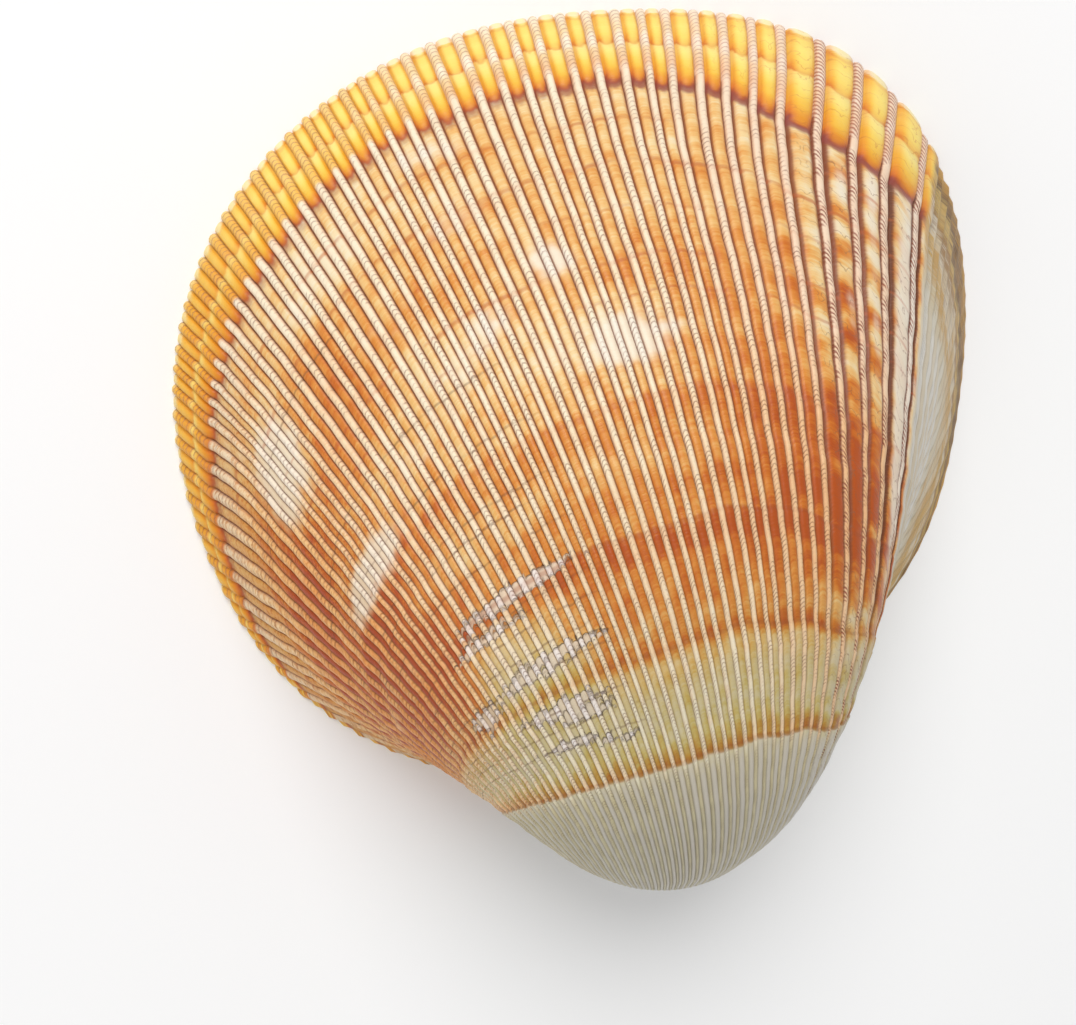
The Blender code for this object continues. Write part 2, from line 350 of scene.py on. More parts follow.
# The hollow follows the skin at the wall's thickness, with small teeth where the ribs end.
TEETH_MM = 0.4
TEETH_END_AT_AGE = 0.16
HINGE_MIDDLE_MM = 6.0
HINGE_REACH_MM = 30.0
edge = outside(np.zeros(columns), WAY[0])
spoke = edge - middle
reach = np.linalg.norm(spoke, axis=-1)
near_beak = np.exp(-((np.hypot(edge[:, 0] - HINGE_MIDDLE_MM, edge[:, 1]) / HINGE_REACH_MM) ** 2))
wall = RIM_WIDTH_MM + (HINGE_PLATE_MM - RIM_WIDTH_MM) * near_beak
teeth = np.interp(degrees, [40, 52, 140, 152], [0, TEETH_MM, TEETH_MM, 0])
teeth = np.cos(2.0 * math.pi * rib) * teeth
rings = []
for late_age in HOLLOW_AGES:
    late = max(0.0, late_age - HOLLOW_ROUNDS_FROM) / (HOLLOW_END - HOLLOW_ROUNDS_FROM)
    fade = max(0.0, 1.0 - late_age / TEETH_END_AT_AGE)
    wall_share = (wall + teeth * fade) / (math.exp(-late_age) * reach)
    kept = (1.0 - wall_share) * math.sqrt(1.0 - late * late)
    flat = middle + spoke * kept[:, None]
    ring_way = np.arctan2(flat[:, 1], flat[:, 0])
    ring_reach = np.hypot(flat[:, 0], flat[:, 1])
    rings.append(grown_point(np.full(columns, late_age), ring_way, ring_reach))
crown_way = np.array([math.atan2(middle[1], middle[0])])
crown_reach = np.array([math.hypot(*HOLLOW_CENTRE_MM)])
crown = grown_point(np.array([HOLLOW_END]), crown_way, crown_reach)

row_count = len(rows)
ring_count = len(rings)
beak_tip = row_count * columns
first_inner = beak_tip + 1
hollow_top = first_inner + ring_count * columns
tip = skin[-1].mean(axis=0)[None]
points = np.concatenate([skin.reshape(-1, 3), tip, np.array(rings).reshape(-1, 3), crown])
faces = []
for j in range(row_count - 1):
    for i in range(columns - 1):
        a = j * columns + i
        faces.append((a, a + 1, a + 1 + columns, a + columns))
for i in range(columns):
    faces.append((beak_tip - columns + i, beak_tip - columns + (i + 1) % columns, beak_tip))
for j in range(ring_count - 1):
    for i in range(columns):
        a = first_inner + j * columns + i
        b = first_inner + j * columns + (i + 1) % columns
        faces.append((a, a + columns, b + columns, b))
top_ring = first_inner + (ring_count - 1) * columns
for i in range(columns):
    faces.append((top_ring + i, hollow_top, top_ring + (i + 1) % columns))
for i in range(columns - 1):
    faces.append((i, first_inner + i, first_inner + i + 1, i + 1))
hinge_line = [j * columns + columns - 1 for j in range(row_count)]
hinge_line += [j * columns for j in range(row_count - 1, -1, -1)]
turn_at = len(hinge_line) - 3
for k in range(len(hinge_line) - 1):
    rim_corner = first_inner + columns - 1 if k < turn_at else first_inner
    faces.append((hinge_line[k], rim_corner, hinge_line[k + 1]))
faces.append((hinge_line[turn_at], first_inner + columns - 1, first_inner))

points[:, 0] = BEAK_TO_ORIGIN_MM[0] - points[:, 0]
points[:, 1] = BEAK_TO_ORIGIN_MM[1] - points[:, 1]
M_FOR_MM = 0.001
points *= M_FOR_MM
shell_mesh = bpy.data.meshes.new("cockle_valve")
shell_mesh.from_pydata([tuple(p) for p in points], [], faces)


def lay_along(name, on_skin, at_tip, on_ring):
    """Keep a measure of the shell on its mesh, for the finish to read."""
    ring_values = np.concatenate([np.broadcast_to(on_ring[i], columns) for i in range(ring_count)])
    values = np.concatenate([on_skin.reshape(-1), [at_tip], ring_values, [ring_values[-1]]])
    laid = shell_mesh.attributes.new(name, "FLOAT", "POINT")
    laid.data.foreach_set("value", values.astype(np.float32))


def spots(where):
    """Soft oval spots on the skin: direction, how grown, both radii, strength."""
    total = np.zeros(age.shape)
    for at, g, wide, tall, strength in where:
        total += strength * np.exp(-(((DEGREES - at) / wide) ** 2) - ((grown - g) / tall) ** 2)
    return total


# Where the shell is stained more or less than the season's bands say, where it is bleached, and
# where its skin is worn through.
STAINS = [
    (130, 0.78, 10, 0.07, 0.50), (124, 0.64, 8, 0.07, 0.40), (113, 0.70, 10, 0.05, 0.15),
    (119, 0.83, 3, 0.04, -0.3), (136, 0.785, 7, 0.05, 0.25), (125, 0.69, 5, 0.025, 0.2),
    (90, 0.76, 8, 0.03, -0.25), (95, 0.735, 22, 0.018, 0.18), (115, 0.80, 6, 0.06, 0.15),
    (61, 0.66, 5, 0.06, 0.55), (71, 0.67, 7, 0.06, 0.35), (68, 0.83, 8, 0.05, 0.15),
    (60, 0.54, 6, 0.04, -0.4), (111, 0.585, 5, 0.03, -0.5), (103, 0.585, 5, 0.03, -0.3),
    (107, 0.67, 7, 0.03, -0.18), (110, 0.84, 4, 0.04, 0.35), (140, 0.66, 10, 0.14, 0.5),
    (152, 0.7, 10, 0.3, 0.35), (131, 0.86, 6, 0.05, 0.2), (100, 0.83, 8, 0.03, 0.2),
    (88, 0.88, 8, 0.03, 0.1), (106, 0.90, 5, 0.02, -0.35), (101, 0.79, 5, 0.02, -0.35),
    (72, 0.74, 10, 0.035, 0.30), (80, 0.80, 9, 0.06, 0.08),
]
BLEACHED = [
    (119.5, 0.720, 7, 0.016, 1.7), (120.0, 0.845, 5.0, 0.040, 1.5), (137, 0.67, 4, 0.03, 0.6),
    (128, 0.915, 10, 0.022, 0.5), (52.6, 0.77, 2.2, 0.16, 2.2), (64.8, 0.885, 1.0, 0.02, 0.7),
    (61.4, 0.895, 1.0, 0.025, 0.8), (58.0, 0.90, 1.0, 0.05, 0.9), (61.2, 0.80, 0.8, 0.04, 0.6),
    (58.0, 0.79, 0.8, 0.05, 0.7), (85.8, 0.748, 4.0, 0.022, 1.3), (80.0, 0.748, 4.0, 0.014, 0.6),
    (88.8, 0.812, 2.4, 0.016, 1.2), (96.0, 0.787, 3.4, 0.018, 0.9), (100.5, 0.77, 3.0, 0.014, 0.75),
    (95.6, 0.866, 4.0, 0.020, 0.75), (94.7, 0.916, 4.0, 0.014, 0.8), (103, 0.83, 4, 0.018, 0.55),
    (107, 0.745, 5, 0.012, 0.6), (108, 0.885, 4, 0.02, 0.6),
]
WORN = [
    (105, 0.628, 9, 0.006, 1.0), (111, 0.612, 8, 0.006, 0.95), (103, 0.575, 8, 0.005, 0.9),
    (118, 0.557, 4, 0.010, 0.95), (108, 0.566, 6, 0.005, 0.8), (107, 0.535, 8, 0.006, 1.0),
    (103, 0.522, 6, 0.004, 0.8), (108, 0.505, 6, 0.005, 0.9), (101, 0.497, 4, 0.004, 0.8),
]

# In the hollow the length along the skin is told by the shell's age there.
RUN_MM_FOR_AGE = 105.0
ring_run = [RUN_MM_FOR_AGE * a for a in HOLLOW_AGES]
for name, values, inner in [
    ("rib", RIB, rib), ("grown", grown, 1.0), ("way", DEGREES, degrees), ("run", run, None),
    ("bars", bars, 0.0), ("stain", spots(STAINS), 0.0), ("bleach", spots(BLEACHED), 0.0),
    ("worn", spots(WORN), 0.0), ("inside", np.zeros(age.shape), 1.0),
]:
    in_hollow = ring_run if inner is None else [inner] * ring_count
    lay_along(name, values, float(values[-1].mean()), in_hollow)

work = bmesh.new()
work.from_mesh(shell_mesh)
bmesh.ops.recalc_face_normals(work, faces=work.faces)
work.to_mesh(shell_mesh)
work.free()
shell_mesh.polygons.foreach_set("use_smooth", np.ones(len(shell_mesh.polygons), dtype=bool))
ends = np.empty(len(shell_mesh.edges) * 2, dtype=np.int32)
shell_mesh.edges.foreach_get("vertices", ends)
ends = ends.reshape(-1, 2)
on_margin = np.all(ends < columns, axis=1)
on_lip = np.all((ends >= first_inner) & (ends < first_inner + columns), axis=1)
sharp = shell_mesh.attributes.new("sharp_edge", "BOOLEAN", "EDGE")
sharp.data.foreach_set("value", on_margin | on_lip)
valve = bpy.data.objects.new("cockle_valve", shell_mesh)
bpy.context.scene.collection.objects.link(valve)

# The finish: everything is painted by rib and by growth line, as the animal did it.
shell_finish = bpy.data.materials.new("cockle_shell")
shell_finish.use_nodes = True
shelf = shell_finish.node_tree.nodes
threads = shell_finish.node_tree.links
glaze = shelf["Principled BSDF"]


def feed(socket, value):
    if isinstance(value, bpy.types.NodeSocket):
        threads.new(value, socket)
    else:
        socket.default_value = value


def measure(name):
    node = shelf.new("ShaderNodeAttribute")
    node.attribute_name = name
    return node.outputs["Fac"]


def work_out(operation, a, b=None, c=None):
    node = shelf.new("ShaderNodeMath")
    node.operation = operation
    for socket, value in zip(node.inputs, (a, b, c)):
        if value is not None:
            feed(socket, value)
    return node.outputs["Value"]


def plus(a, b):
    return work_out("ADD", a, b)


def minus(a, b):
    return work_out("SUBTRACT", a, b)


def times(a, b):
    return work_out("MULTIPLY", a, b)


def rise(value, low, high):
    """0 below low, 1 above high, soft between; the other way round if low is the higher."""
    node = shelf.new("ShaderNodeMapRange")
    node.interpolation_type = "SMOOTHSTEP"
    feed(node.inputs["Value"], value)
    upward = False if isinstance(low, bpy.types.NodeSocket) else low < high
    feed(node.inputs["From Min"], low if upward else high)
    feed(node.inputs["From Max"], high if upward else low)
    feed(node.inputs["To Min"], 0.0 if upward else 1.0)
    feed(node.inputs["To Max"], 1.0 if upward else 0.0)
    return node.outputs["Result"]


def grain(across, along, shift=0.0, detail=3.0, rough=0.55):
    """Noise laid along the ribs: across counts ribs, along counts millimetres."""
    place = shelf.new("ShaderNodeCombineXYZ")
    feed(place.inputs["X"], times(rib_number, across))
    feed(place.inputs["Y"], times(run_mm, along))
    feed(place.inputs["Z"], shift)
    noise = shelf.new("ShaderNodeTexNoise")
    threads.new(place.outputs["Vector"], noise.inputs["Vector"])
    feed(noise.inputs["Scale"], 1.0)
    feed(noise.inputs["Detail"], detail)
    feed(noise.inputs["Roughness"], rough)
    return minus(noise.outputs["Fac"], 0.5)


def paint_of(red, green, blue):
    """A colour as a screen shows it, turned into the colour of the paint."""
    shown = [v / 255.0 for v in (red, green, blue)]
    paint = [v / 12.92 if v <= 10 / 255.0 else ((v + 0.055) / 1.055) ** 2.4 for v in shown]
    return tuple(paint) + (1.0,)


def shades(value, stops):
    node = shelf.new("ShaderNodeValToRGB")
    feed(node.inputs["Fac"], value)
    marks = node.color_ramp.elements
    while len(marks) < len(stops):
        marks.new(1.0)
    for mark, (at, colour) in zip(marks, stops):
        mark.position = at
        mark.color = paint_of(*colour)
    return node.outputs["Color"]


def amounts(value, stops):
    """A number read off a line of (place, number) marks."""
    node = shelf.new("ShaderNodeValToRGB")
    feed(node.inputs["Fac"], value)
    marks = node.color_ramp.elements
    while len(marks) < len(stops):
        marks.new(1.0)
    for mark, (at, number) in zip(marks, stops):
        mark.position = at
        mark.color = (number, number, number, 1.0)
    return node.outputs["Color"]


def cover(share, under, over, how="MIX"):
    node = shelf.new("ShaderNodeMix")
    node.data_type = "RGBA"
    node.blend_type = how
    feed(node.inputs[0], share)
    feed(node.inputs[6], under if isinstance(under, bpy.types.NodeSocket) else paint_of(*under))
    feed(node.inputs[7], over if isinstance(over, bpy.types.NodeSocket) else paint_of(*over))
    return node.outputs[2]


rib_number = measure("rib")
grown_to = measure("grown")
direction = measure("way")
run_mm = measure("run")
bar_count = measure("bars")
stain = measure("stain")
bleach = measure("bleach")
worn = measure("worn")
inside = measure("inside")

# Place within one rib: a cord for the first half, the band beside it for the second.
turn_of_rib = work_out("FRACT", plus(rib_number, 0.25))
on_band = work_out("GREATER_THAN", turn_of_rib, 0.5)
on_cord = minus(1.0, on_band)
across_half = work_out("FRACT", times(turn_of_rib, 2.0))
from_groove = minus(0.5, work_out("ABSOLUTE", minus(across_half, 0.5)))
lone = shelf.new("ShaderNodeTexWhiteNoise")
lone.noise_dimensions = "1D"
feed(lone.inputs["W"], work_out("FLOOR", plus(times(rib_number, 2.0), 0.5)))
own = minus(lone.outputs["Value"], 0.5)

blotch = grain(0.9, 0.20, 1.0)
streak = grain(0.20, 0.55, 5.0)
striae = grain(0.35, 2.6, 9.0, detail=4.0, rough=0.6)
fleck = grain(7.0, 3.0, 13.0, detail=2.0)
season = plus(grown_to, plus(times(own, 0.0016), times(grain(0.16, 0.08, 17.0), 0.008)))
long_side = rise(direction, 108.0, 124.0)
steep_side = rise(direction, 67.5, 63.8)

# Cream and amber cords, rust at the edges of cords and bands that is partly painted shade beside
# the grooves, a pale beak.
RUST_AND_SHADE_EDGE = (206, 118, 52)
CORD_CREAM = (252, 240, 216)
CORD_IVORY = (244, 240, 218)
CORD_PALE_AMBER = (250, 208, 148)
CORD_AMBER = (243, 168, 88)
CORD_PEACH = (238, 200, 165)
STEEP_CORD_PINK = (246, 212, 190)
STEEP_CORD_AMBER = (240, 184, 126)
CORD_GREY = (232, 222, 208)
HATCH_BROWN = (204, 140, 78)
CORD_EDGE_RUST_AND_SHADE = (218, 150, 98)
BEAK_BAND = (232, 229, 223)
BEAK_CORD = (236, 228, 190)

# How warm each season's band is: how grown the shell was, and the share of amber.
SEASONS = [
    (0.0, 0.2), (0.30, 0.15), (0.4585, 0.1), (0.459, 0.95), (0.47, 0.7), (0.48, 0.45), (0.50, 0.3),
    (0.54, 0.4), (0.545, 0.8), (0.552, 0.85), (0.56, 0.55), (0.58, 0.7), (0.605, 0.75),
    (0.61, 0.95), (0.624, 1.0), (0.628, 0.65), (0.64, 0.65), (0.65, 0.75), (0.665, 0.5),
    (0.69, 0.55), (0.709, 0.65), (0.715, 0.30), (0.745, 0.22), (0.77, 0.40), (0.79, 0.50),
    (0.82, 0.38), (0.845, 0.28), (0.865, 0.38), (0.88, 0.26), (0.90, 0.34), (0.935, 0.27),
]
warmth = amounts(season, SEASONS)
warmth = plus(warmth, stain)
warmth = plus(warmth, times(blotch, 0.9))
warmth = plus(warmth, times(streak, 0.4))
warmth = plus(warmth, times(striae, 0.55))
warmth = plus(warmth, times(fleck, times(long_side, 0.9)))
warmth = plus(warmth, times(blotch, times(steep_side, 1.2)))
beads = work_out("SINE", plus(times(run_mm, 0.95), times(own, 5.0)))
beads = times(beads, rise(direction, 74.0, 64.0))
warmth = plus(warmth, times(beads, times(rise(grown_to, 0.70, 0.78), 0.22)))
band_colour = shades(warmth, [
    (0.0, (254, 246, 228)), (0.2, (252, 230, 184)), (0.4, (247, 202, 132)),
    (0.6, (236, 162, 74)), (0.8, (219, 126, 34)), (1.0, (196, 92, 10)),
])
young_colour = shades(warmth, [
    (0.0, (238, 233, 216)), (0.3, (234, 226, 186)), (0.5, (224, 208, 130)), (0.75, (212, 166, 66)),
    (1.0, (190, 118, 26)),
])
# Darker rust at the band edges: partly rust colour, partly painted shade that leaves the band
# middles looking lit.
band_edge_rust_and_shade = times(rise(from_groove, 0.30, 0.04), rise(grown_to, 0.62, 0.72))
band_colour = cover(times(band_edge_rust_and_shade, 0.55), band_colour, RUST_AND_SHADE_EDGE)
young_dips = times(rise(direction, 98.0, 106.0), times(rise(direction, 120.0, 112.0), 0.06))
young = rise(minus(grown_to, young_dips), 0.57, 0.50)
band_colour = cover(young, band_colour, young_colour)

cord_colour = cover(rise(grown_to, 0.60, 0.42), CORD_CREAM, CORD_IVORY)
warm_cord = cover(rise(warmth, 0.6, 1.3), CORD_PALE_AMBER, CORD_AMBER)
how_warm = rise(plus(warmth, times(long_side, 0.25)), 0.2, 1.0)
how_warm = times(how_warm, plus(0.5, times(long_side, 0.45)))
cord_colour = cover(how_warm, cord_colour, warm_cord)
cord_colour = cover(times(rise(grain(1.3, 0.3, 21.0), -0.05, 0.2), 0.35), cord_colour, CORD_PEACH)
steep_cord = cover(rise(grown_to, 0.80, 0.70), STEEP_CORD_PINK, STEEP_CORD_AMBER)
cord_colour = cover(times(rise(direction, 84.0, 66.0), 0.55), cord_colour, steep_cord)
greyed = times(times(long_side, rise(grown_to, 0.87, 0.94)), 0.55)
cord_colour = cover(greyed, cord_colour, CORD_GREY)
hatched = times(long_side, rise(plus(striae, times(fleck, 0.8)), -0.02, 0.18))
cord_colour = cover(times(hatched, 0.55), cord_colour, HATCH_BROWN)
near_margin = times(rise(direction, 114.0, 124.0), rise(grown_to, 0.84, 0.90))
band_colour = cover(times(near_margin, 0.65), band_colour, cord_colour)
on_beak = rise(grown_to, 0.462, 0.440)
band_colour = cover(times(on_beak, 0.9), band_colour, BEAK_BAND)
cord_colour = cover(times(on_beak, 0.9), cord_colour, BEAK_CORD)
# Darker rust on the cord sides: partly rust colour, partly painted shade beside the grooves.
cord_edge_rust_and_shade = times(rise(from_groove, 0.27, 0.04), rise(grown_to, 0.60, 0.72))
cord_colour = cover(times(cord_edge_rust_and_shade, 0.5), cord_colour, CORD_EDGE_RUST_AND_SHADE)
skin_colour = cover(on_band, cord_colour, band_colour)

# Bleached patches break off in steps across the ribs; worn ones show chalk and fine dark cracks.
BLEACHED_CREAM = (245, 236, 222)
CHALK_WHITE = (250, 244, 246)

patch_edge = plus(times(grain(0.5, 0.35, 25.0, detail=1.0), 0.9), times(own, 0.2))
bleached = rise(plus(bleach, patch_edge), 0.36, 1.05)
skin_colour = cover(times(bleached, 0.85), skin_colour, BLEACHED_CREAM)
wear_edge = plus(worn, plus(times(grain(0.13, 0.7, 29.0), 1.5), times(own, 0.15)))
worn_off = rise(wear_edge, 0.42, 0.58)
crack = times(rise(wear_edge, 0.40, 0.52), rise(wear_edge, 0.66, 0.54))
crack = times(crack, rise(grain(1.3, 1.2, 31.0), -0.08, 0.06))
skin_colour = cover(times(worn_off, 0.85), skin_colour, CHALK_WHITE)

# Fine bars across every cord, and dark lines in the grooves beside it: partly brown colour, partly
# painted shade, and pale on the beak.
BAR_BROWN = (156, 84, 66)
LONG_GROOVE_BROWN_AND_SHADE = (104, 64, 30)
CRACK_BROWN = (128, 96, 80)
STEEP_GROOVE_BROWN_AND_SHADE = (140, 70, 34)
LAST_GROOVE_BROWN_AND_SHADE = (84, 52, 36)
SAGGING_BROWN = (150, 104, 84)
HAIR_BROWN = (118, 74, 44)

cross_cord = times(minus(turn_of_rib, 0.25), 4.0)
slant = times(cross_cord, minus(0.12, times(steep_side, 1.1)))
bar_shift = plus(times(own, 3.0), times(grain(2.0, 0.5, 33.0), 1.2))
bar_wave = work_out("FRACT", plus(plus(bar_count, slant), bar_shift))
bar_width = plus(0.17, times(steep_side, 0.20))
bar_line = rise(work_out("ABSOLUTE", minus(bar_wave, 0.5)), bar_width, 0.04)
bar_depth = times(on_cord, times(bar_line, rise(grain(1.1, 0.35, 37.0), -0.12, 0.12)))
skin_colour = cover(times(bar_depth, plus(0.42, times(steep_side, 0.55))), skin_colour, BAR_BROWN)
# The groove lines beside each cord: brown colour with painted shade, stronger on the older shell.
groove_shade_line = rise(plus(from_groove, times(fleck, 0.06)), plus(0.13, times(steep_side, 0.10)), 0.03)
skin_colour = cover(times(times(groove_shade_line, long_side), 0.25), skin_colour, LONG_GROOVE_BROWN_AND_SHADE)
groove_brown_and_shade = shades(grown_to, [
    (0.0, (212, 204, 176)), (0.42, (212, 202, 158)), (0.5, (176, 128, 60)),
    (0.7, (126, 62, 18)), (1.0, (136, 64, 22)),
])
groove_shade_share = amounts(grown_to, [
    (0.0, 0.2), (0.42, 0.2), (0.5, 0.3), (0.62, 0.5), (0.70, 0.8), (1.0, 0.9),
])
skin_colour = cover(times(groove_shade_line, groove_shade_share), skin_colour, groove_brown_and_shade)
skin_colour = cover(times(crack, 0.4), skin_colour, CRACK_BROWN)
# Deeper brown and painted shade in the grooves of the steep end, darkest in the last grooves before
# the slope.
steep_groove_shade = times(rise(plus(from_groove, times(fleck, 0.12)), 0.15, 0.05), steep_side)
steep_groove_shade = times(steep_groove_shade, rise(grown_to, 0.5, 0.62))
skin_colour = cover(times(steep_groove_shade, 0.65), skin_colour, STEEP_GROOVE_BROWN_AND_SHADE)
last_groove_shade = times(times(steep_groove_shade, rise(direction, 58.0, 56.0)), 0.55)
skin_colour = cover(last_groove_shade, skin_colour, LAST_GROOVE_BROWN_AND_SHADE)
across_rib = work_out("FRACT", times(plus(turn_of_rib, 0.25), 2.0))
across_rib = work_out("ABSOLUTE", minus(across_rib, 0.5))
sag = plus(times(times(across_rib, across_rib), -2.4), times(grain(1.4, 0.5, 51.0), 2.2))
sagging = plus(times(run_mm, 0.42), sag)
sagging_line = rise(work_out("ABSOLUTE", minus(work_out("FRACT", sagging), 0.5)), 0.075, 0.01)
sagging_line = times(times(sagging_line, on_band), rise(grain(1.0, 0.4, 53.0), -0.14, 0.06))
skin_colour = cover(times(times(sagging_line, steep_side), 0.55), skin_colour, SAGGING_BROWN)


def across_line(at, half_width):
    return rise(work_out("ABSOLUTE", minus(season, at)), half_width, half_width * 0.2)


gaps = times(rise(grown_to, 0.74, 0.76), rise(grain(0.22, 0.3, 57.0), -0.10, 0.10))
broken = plus(rise(grown_to, 0.76, 0.74), gaps)
broken = times(broken, plus(0.45, times(on_band, 0.55)))

# Growth lines: how grown the shell was, half the line's width, its strength and its tone.
GROWTH_LINES = [
    (0.709, 0.0030, 0.25, (190, 100, 40)), (0.627, 0.0028, 0.4, (170, 84, 28)),
    (0.548, 0.0024, 0.35, (166, 98, 40)), (0.4595, 0.0034, 0.7, (180, 108, 30)),
    (0.868, 0.0028, 0.60, (196, 100, 44)), (0.80, 0.0024, 0.55, (196, 100, 44)),
    (0.902, 0.0022, 0.55, (200, 108, 50)), (0.775, 0.0018, 0.45, (190, 92, 40)),
    (0.835, 0.0018, 0.4, (196, 106, 50)),
]
for at, half_width, strength, tone in GROWTH_LINES:
    line = times(times(across_line(at, half_width), broken), strength)
    skin_colour = cover(line, skin_colour, tone)

# Hair lines across the long side.
HAIR_HALF_WIDTH = 0.0013
HAIR_LINES = [
    0.856, 0.762, 0.722, 0.686, 0.675, 0.655, 0.616, 0.600, 0.583, 0.566, 0.533, 0.518, 0.503,
]
hair_side = times(rise(direction, 92.0, 102.0), rise(grain(0.15, 0.3, 49.0), -0.12, 0.08))
for at in HAIR_LINES:
    line = times(times(across_line(at, HAIR_HALF_WIDTH), hair_side), 0.5)
    skin_colour = cover(line, skin_colour, HAIR_BROWN)

# The last season: two rows of yellow blocks on the bands, each deeper at its inner end, with
# painted shade on their sides and a painted highlight in their middles.
BLOCK_SIDE_SHADE = (236, 170, 84)
BLOCK_HIGHLIGHT = (255, 236, 140)
BLOCK_OLIVE = (206, 172, 96)
BLOCK_LINES = (206, 124, 52)
BLOCK_CORD_PINK = (240, 208, 192)
BLOCK_CORD_YELLOW = (246, 196, 72)
BLOCK_BARS = (176, 108, 84)
BLOCK_GROOVE_BROWN_AND_SHADE = (176, 108, 58)
BROWN_EDGE = (150, 66, 62)

cross_band = times(minus(turn_of_rib, 0.75), 4.0)
bow = times(minus(1.0, times(cross_band, cross_band)), on_band)
along = work_out("DIVIDE", minus(1.0, grown_to), LAST_BAND)
uneven_ends = plus(times(own, 0.05), times(grain(1.0, 0.4, 41.0), 0.14))
bowed = minus(along, plus(times(bow, 0.07), uneven_ends))
in_block = shades(bowed, [
    (0.0, (252, 242, 215)), (0.03, (246, 205, 90)), (0.055, (236, 170, 50)), (0.09, (250, 208, 80)),
    (0.22, (254, 228, 112)), (0.34, (252, 214, 84)), (0.41, (244, 182, 58)),
    (0.445, (226, 146, 48)), (0.47, (252, 230, 140)), (0.56, (253, 234, 130)),
    (0.68, (252, 214, 70)), (0.80, (250, 196, 52)), (0.89, (240, 160, 46)), (0.955, (208, 112, 48)),
    (1.0, (160, 76, 56)),
])
# Painted shade and highlight: each rounded block is darkened at its sides and lightened in its
# middle, as if lit from above.
block_middle_lit = rise(bow, 0.2, 1.0)
in_block = cover(times(minus(1.0, block_middle_lit), 0.55), in_block, BLOCK_SIDE_SHADE, "MULTIPLY")
block_highlight = times(times(rise(bow, 0.5, 1.0), rise(bowed, 0.9, 0.6)), 0.4)
in_block = cover(block_highlight, in_block, BLOCK_HIGHLIGHT)
amber = rise(direction, 102.0, 116.0)
amber_band = shades(bowed, [
    (0.0, (244, 216, 140)), (0.1, (236, 172, 36)), (0.42, (228, 150, 26)), (0.50, (244, 212, 112)),
    (0.60, (236, 168, 36)), (0.85, (230, 148, 32)), (1.0, (206, 108, 34)),
])
in_block = cover(times(amber, 0.7), in_block, amber_band)
in_block = cover(rise(direction, 51.5, 48.5), in_block, BLOCK_OLIVE)
block_line = times(times(sagging_line, rise(direction, 80.0, 62.0)), 0.5)
in_block = cover(block_line, in_block, BLOCK_LINES)
block_cord = shades(along, [
    (0.0, (250, 236, 212)), (0.28, (246, 222, 178)), (0.40, (252, 242, 222)),
    (0.50, (250, 238, 214)), (0.57, (246, 216, 168)), (0.74, (240, 200, 158)),
    (0.82, (244, 222, 196)), (0.92, (250, 240, 224)),
])
block_cord = cover(times(rise(direction, 84.0, 66.0), 0.5), block_cord, BLOCK_CORD_PINK)
block_cord = cover(times(rise(direction, 88.0, 102.0), 0.8), block_cord, BLOCK_CORD_YELLOW)
block_cord = cover(times(amber, 0.9), block_cord, amber_band)
block_bar = times(times(bar_line, on_cord), plus(0.5, times(steep_side, 0.4)))
block_cord = cover(block_bar, block_cord, BLOCK_BARS)
# Brown and painted shade in the grooves of the last band.
block_cord = cover(times(groove_shade_line, 0.45), block_cord, BLOCK_GROOVE_BROWN_AND_SHADE)
block_skin = cover(on_band, block_cord, in_block)
cord_edge_here = plus(along, times(rise(direction, 126.0, 114.0), 0.14))
last_edge = plus(times(on_band, bowed), times(on_cord, cord_edge_here))
in_last_band = times(rise(last_edge, 1.02, 0.95), rise(direction, 36.0, 47.0))
skin_colour = cover(in_last_band, skin_colour, block_skin)
brown_line = rise(work_out("ABSOLUTE", minus(bowed, 1.0)), 0.09, 0.02)
brown_line = times(times(brown_line, rise(direction, 46.0, 52.0)), on_band)
brown_line = times(brown_line, plus(0.35, times(rise(direction, 95.0, 75.0), 0.5)))
skin_colour = cover(brown_line, skin_colour, BROWN_EDGE)

# The steep end: bare, chalky and striped with olive.
SLOPE_GROOVE_BROWN_AND_SHADE = (150, 128, 96)

slope = rise(direction, 50.4, 49.6)
slope_grain = plus(times(grain(0.3, 0.12, 45.0), 0.10), times(grain(0.6, 2.4, 47.0), 0.05))
slope_place = plus(grown_to, slope_grain)
slope_colour = shades(slope_place, [
    (0.0, (236, 232, 214)), (0.45, (230, 222, 190)), (0.55, (232, 230, 222)),
    (0.84, (238, 237, 234)), (0.90, (228, 222, 206)), (0.925, (210, 166, 72)),
    (0.935, (230, 222, 204)), (0.95, (160, 114, 46)), (0.96, (216, 184, 110)),
    (0.975, (110, 78, 42)), (1.0, (204, 154, 60)),
])
skin_colour = cover(slope, skin_colour, slope_colour)
# Grey-brown lines in the grooves of the slope: partly painted shade.
skin_colour = cover(times(times(groove_shade_line, slope), 0.3), skin_colour, SLOPE_GROOVE_BROWN_AND_SHADE)

# Painted shade: the shell is darkened more and more towards the beak, where the dome turns away
# from the light, and the long side is tinted yellow, partly stain and partly painted shade.
LONG_SIDE_STAIN_AND_SHADE = (240, 208, 142)

beak_painted_shade = shades(grown_to, [
    (0.0, (200, 196, 190)), (0.40, (212, 208, 201)), (0.45, (220, 214, 202)),
    (0.52, (214, 203, 178)), (0.60, (230, 216, 190)), (0.70, (238, 222, 194)),
    (0.93, (242, 232, 212)), (0.96, (252, 246, 234)), (1.0, (254, 250, 240)),
])
# How much painted shade each spot takes: full on the bands and the beak, less on the cords and on
# bleached patches.
painted_shade_share = plus(0.40, times(work_out("MAXIMUM", on_band, on_beak), 0.60))
painted_shade_share = times(painted_shade_share, minus(1.0, times(bleached, 0.6)))
skin_colour = cover(painted_shade_share, skin_colour, beak_painted_shade, "MULTIPLY")
